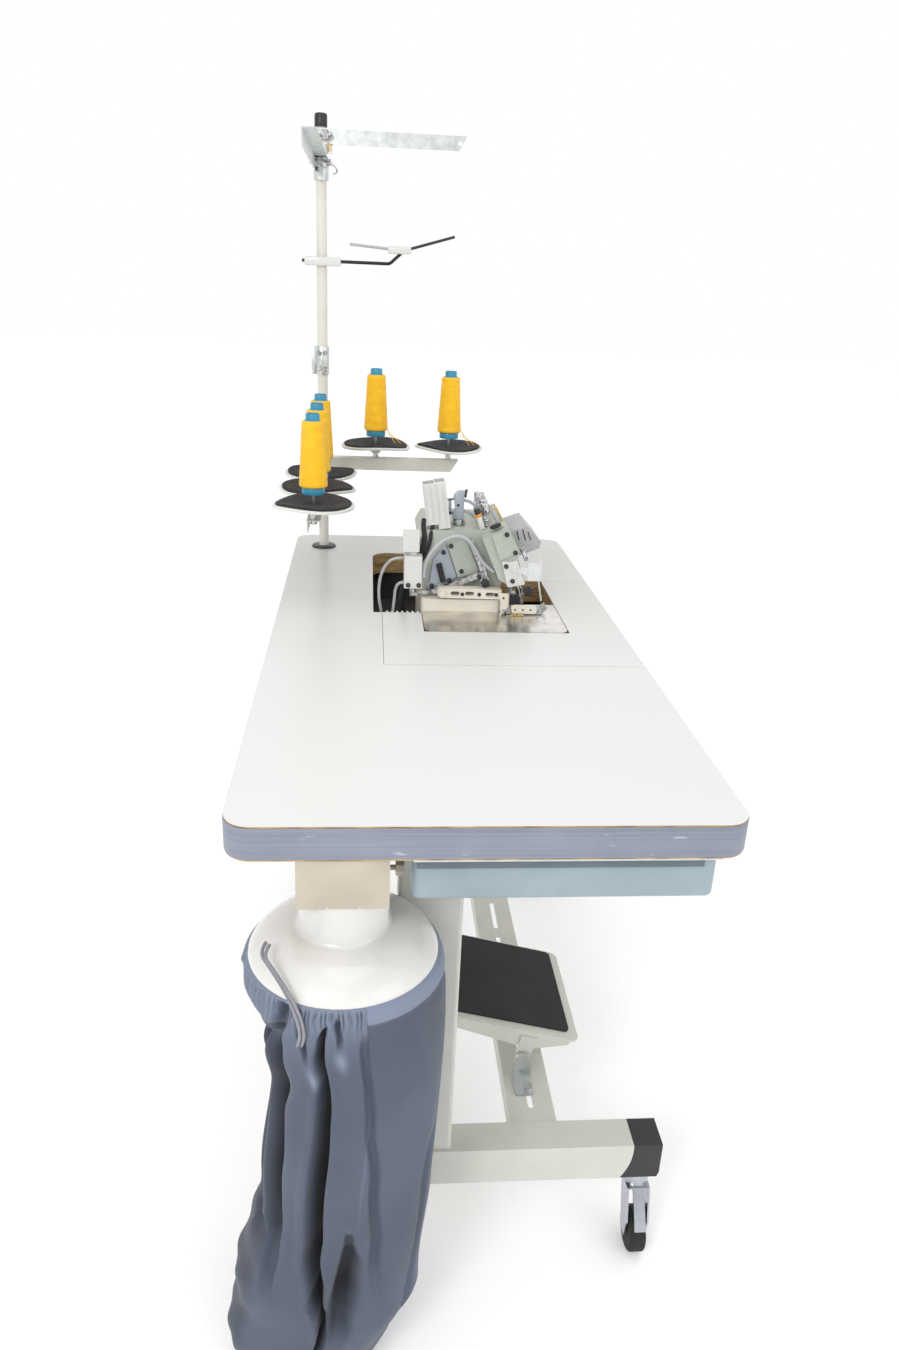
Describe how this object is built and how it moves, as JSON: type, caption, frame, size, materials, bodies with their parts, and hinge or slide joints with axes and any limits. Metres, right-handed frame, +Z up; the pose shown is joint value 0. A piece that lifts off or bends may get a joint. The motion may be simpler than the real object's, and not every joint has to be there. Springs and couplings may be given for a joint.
{
  "type": "overlock sewing machine",
  "caption": "Industrial overlock sewing head let into a wheeled work table, with treadle, thread rack, side drawer and a funnel-fed waste bag.",
  "frame": {"origin": "on the floor, under the middle of the whole outline", "axes": "+Z up; +X along the table from the waste bag towards the thread pole and handwheel; +Y from the operator's side towards the back"},
  "size_m": [1.2583, 0.5897, 1.562],
  "materials": {
    "table_laminate": "fine speckled pale grey laminate, satin",
    "stand_paint": "warm light grey powder coat, satin",
    "black_plastic": "satin",
    "black_rubber": "matte",
    "chrome_steel": "bright",
    "zinc_steel": "galvanised, slightly mottled",
    "wheel_tyre": "satin",
    "drawer_plastic": "blue-grey, satin",
    "cream_paint": "cream white, satin",
    "holder_white": "white, slightly wavy",
    "thread_yellow": "wound thread",
    "funnel_white": "glossy cream white",
    "bag_cloth": "slate blue-grey woven cloth",
    "casting_green": "grey-green hammer paint, satin",
    "casting_beige": "beige paint, satin",
    "cover_white": "white, satin",
    "polished_plate": "polished",
    "dark_pan": "black, matte",
    "panel_grey": "ribbed grey, satin",
    "duct_white": "white, satin",
    "clear_guard": "clear plastic",
    "tube_clear": "translucent grey tube"
  },
  "bodies": {
    "stand_and_head": {"table_top": "table_laminate", "head_tray": "dark_pan", "left_leg": "stand_paint", "right_leg": "stand_paint", "foot_end_caps": "black_plastic", "stretcher_bar": "stand_paint", "treadle_brackets": "zinc_steel", "drawer_runners": "zinc_steel", "control_box": "cream_paint", "pole_tubes": "cream_paint", "pole_fittings": "black_plastic", "spool_arms": "cream_paint", "spool_holders": "holder_white", "top_guide_arms": "zinc_steel", "mid_guide": "black_plastic", "funnel_bracket": "cream_paint", "waste_funnel": "funnel_white", "waste_bag": "bag_cloth", "bed_casting": "casting_beige", "arm_casting": "casting_green", "casting_covers": "casting_green", "face_cover": "cover_white", "control_panel": "panel_grey", "cloth_plate": "polished_plate", "motor_housing": "panel_grey", "air_cylinder": "zinc_steel", "cable_duct": "duct_white", "head_fittings": "chrome_steel", "cover_screws": "chrome_steel", "hoses_and_cables": "tube_clear"},
    "lift_out_panel": {"table_insert": "table_laminate"},
    "treadle": {"treadle_plate": "stand_paint", "treadle_mat": "black_rubber"},
    "pitman": {"pitman_rod": "zinc_steel"},
    "drawer_tray": {"drawer": "drawer_plastic"},
    "presser": {"presser_arm": "casting_beige", "presser_foot": "polished_plate"},
    "lifter": {"foot_lifter": "chrome_steel"},
    "cylinder_rod": {"air_rod": "chrome_steel"},
    "needle": {"needle_bar": "chrome_steel"},
    "looper_upper": {"upper_looper": "polished_plate"},
    "looper_lower": {"lower_looper": "polished_plate"},
    "knife": {"upper_knife": "polished_plate"},
    "feed": {"feed_dogs": "polished_plate"},
    "wheel_and_shaft": {"main_shaft": "polished_plate", "handwheel": "black_plastic"},
    "guard": {"eye_guard": "clear_guard"},
    "cone_1": {"thread_cone_1": "thread_yellow"},
    "cone_2": {"thread_cone_2": "thread_yellow"},
    "cone_3": {"thread_cone_3": "thread_yellow"},
    "cone_4": {"thread_cone_4": "thread_yellow"},
    "cone_5": {"thread_cone_5": "thread_yellow"},
    "fork_front_left": {"caster_fork_front_left": "chrome_steel"},
    "wheel_front_left": {"caster_wheel_front_left": "wheel_tyre"},
    "fork_rear_left": {"caster_fork_rear_left": "chrome_steel"},
    "wheel_rear_left": {"caster_wheel_rear_left": "wheel_tyre"},
    "fork_front_right": {"caster_fork_front_right": "chrome_steel"},
    "wheel_front_right": {"caster_wheel_front_right": "wheel_tyre"},
    "fork_rear_right": {"caster_fork_rear_right": "chrome_steel"},
    "wheel_rear_right": {"caster_wheel_rear_right": "wheel_tyre"}
  },
  "joints": [
    {"name": "panel_lift", "type": "slide", "parent": "stand_and_head", "child": "lift_out_panel", "axis": [0, 0, 1], "range_m": [0, 0.05]},
    {"name": "treadle_rock", "type": "hinge", "parent": "stand_and_head", "child": "treadle", "pos_m": [-0.1835, -0.117, 0.228], "axis": [1, 0, 0], "range_deg": [-12, 6], "stiffness_Nm_per_rad": 35, "springref_deg": 1.72},
    {"name": "pitman_slide", "type": "slide", "parent": "stand_and_head", "child": "pitman", "axis": [0, 0, 1], "range_m": [-0.029, 0.0145]},
    {"name": "drawer_slide", "type": "slide", "parent": "stand_and_head", "child": "drawer_tray", "axis": [0, -1, 0], "range_m": [0, 0.22]},
    {"name": "cone_1_lift", "type": "slide", "parent": "stand_and_head", "child": "cone_1", "axis": [0, 0, 1], "range_m": [0, 0.12]},
    {"name": "cone_2_lift", "type": "slide", "parent": "stand_and_head", "child": "cone_2", "axis": [0, 0, 1], "range_m": [0, 0.12]},
    {"name": "cone_3_lift", "type": "slide", "parent": "stand_and_head", "child": "cone_3", "axis": [0, 0, 1], "range_m": [0, 0.12]},
    {"name": "cone_4_lift", "type": "slide", "parent": "stand_and_head", "child": "cone_4", "axis": [0, 0, 1], "range_m": [0, 0.12]},
    {"name": "cone_5_lift", "type": "slide", "parent": "stand_and_head", "child": "cone_5", "axis": [0, 0, 1], "range_m": [0, 0.12]},
    {"name": "presser_lift", "type": "hinge", "parent": "stand_and_head", "child": "presser", "pos_m": [0.127, -0.003, 0.823], "axis": [-1, 0, 0], "range_deg": [0, 3.5]},
    {"name": "lifter_swing", "type": "hinge", "parent": "stand_and_head", "child": "lifter", "pos_m": [0.141, -0.003, 0.823], "axis": [-1, 0, 0], "range_deg": [0, 4.2]},
    {"name": "cylinder_stroke", "type": "slide", "parent": "stand_and_head", "child": "cylinder_rod", "axis": [0, 0, -1], "range_m": [0, 0.0036]},
    {"name": "needle_stroke", "type": "slide", "parent": "stand_and_head", "child": "needle", "axis": [0, 0.3156, 0.9489], "range_m": [-0.024, 0]},
    {"name": "upper_looper_swing", "type": "hinge", "parent": "stand_and_head", "child": "looper_upper", "pos_m": [0.19, -0.1, 0.731], "axis": [0, 1, 0], "range_deg": [-0.5, 21]},
    {"name": "lower_looper_swing", "type": "hinge", "parent": "stand_and_head", "child": "looper_lower", "pos_m": [0.15, -0.1, 0.731], "axis": [0, 1, 0], "range_deg": [-0.5, 21]},
    {"name": "knife_stroke", "type": "slide", "parent": "stand_and_head", "child": "knife", "axis": [0, 0, 1], "range_m": [-0.0062, 0]},
    {"name": "feed_stroke", "type": "slide", "parent": "stand_and_head", "child": "feed", "axis": [0, 1, 0], "range_m": [-0.0001, 0.0031]},
    {"name": "handwheel_turn", "type": "hinge", "parent": "stand_and_head", "child": "wheel_and_shaft", "pos_m": [0.3, -0.035, 0.862], "axis": [1, 0, 0], "continuous": true},
    {"name": "guard_swing", "type": "hinge", "parent": "stand_and_head", "child": "guard", "pos_m": [0.116, -0.121, 0.866], "axis": [-1, 0, 0], "range_deg": [0, 60]},
    {"name": "swivel_front_left", "type": "hinge", "parent": "stand_and_head", "child": "fork_front_left", "pos_m": [-0.404, -0.274, 0.12], "axis": [0, 0, 1], "continuous": true},
    {"name": "spin_front_left", "type": "hinge", "parent": "fork_front_left", "child": "wheel_front_left", "pos_m": [-0.424, -0.274, 0.031], "axis": [0, 1, 0], "continuous": true},
    {"name": "swivel_rear_left", "type": "hinge", "parent": "stand_and_head", "child": "fork_rear_left", "pos_m": [-0.404, 0.221, 0.12], "axis": [0, 0, 1], "continuous": true},
    {"name": "spin_rear_left", "type": "hinge", "parent": "fork_rear_left", "child": "wheel_rear_left", "pos_m": [-0.424, 0.221, 0.031], "axis": [0, 1, 0], "continuous": true},
    {"name": "swivel_front_right", "type": "hinge", "parent": "stand_and_head", "child": "fork_front_right", "pos_m": [0.536, -0.274, 0.12], "axis": [0, 0, 1], "continuous": true},
    {"name": "spin_front_right", "type": "hinge", "parent": "fork_front_right", "child": "wheel_front_right", "pos_m": [0.516, -0.274, 0.031], "axis": [0, 1, 0], "continuous": true},
    {"name": "swivel_rear_right", "type": "hinge", "parent": "stand_and_head", "child": "fork_rear_right", "pos_m": [0.536, 0.221, 0.12], "axis": [0, 0, 1], "continuous": true},
    {"name": "spin_rear_right", "type": "hinge", "parent": "fork_rear_right", "child": "wheel_rear_right", "pos_m": [0.516, 0.221, 0.031], "axis": [0, 1, 0], "continuous": true}
  ],
  "couplings": [
    {"joint": "pitman_slide", "follows": "treadle_rock", "m_per_rad": 0.137},
    {"joint": "lifter_swing", "follows": "presser_lift", "ratio": 1.2},
    {"joint": "cylinder_stroke", "follows": "presser_lift", "m_per_rad": 0.0582},
    {"joint": "upper_looper_swing", "follows": "needle_stroke", "rad_per_m": -14.5},
    {"joint": "lower_looper_swing", "follows": "needle_stroke", "rad_per_m": -14.5},
    {"joint": "knife_stroke", "follows": "needle_stroke", "ratio": 0.25},
    {"joint": "feed_stroke", "follows": "needle_stroke", "ratio": -0.125}
  ]
}
